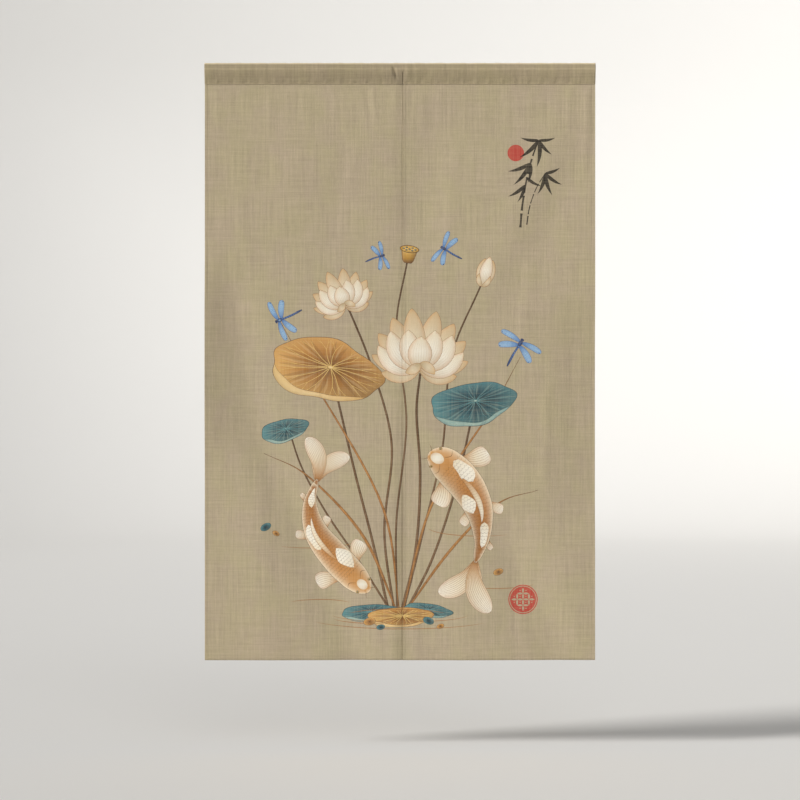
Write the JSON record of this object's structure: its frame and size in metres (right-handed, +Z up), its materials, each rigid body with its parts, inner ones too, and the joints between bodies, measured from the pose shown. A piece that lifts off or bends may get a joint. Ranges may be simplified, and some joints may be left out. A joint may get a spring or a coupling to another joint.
{
  "type": "fabric door curtain",
  "caption": "Split door curtain of plain-weave linen-look cloth: hemmed panels side by side under a sewn rod pocket, printed front, hung flat with soft folds.",
  "frame": {"origin": "middle of the curtain's top edge, on the crown of the rod pocket", "axes": "+Z up along the hanging cloth, +X along the width to the right of someone who looks at the printed front, -Y out of the printed front"},
  "size_m": [0.8505, 0.0254, 1.3001],
  "materials": {
    "panel_cloth": "matt khaki-beige linen-look plain weave with a printed flower and leaf design",
    "heading_cloth": "the same cloth without print, folded over and stitched"
  },
  "bodies": {
    "root": {"panel_left": "panel_cloth", "panel_right": "panel_cloth", "heading": "heading_cloth"}
  },
  "joints": []
}
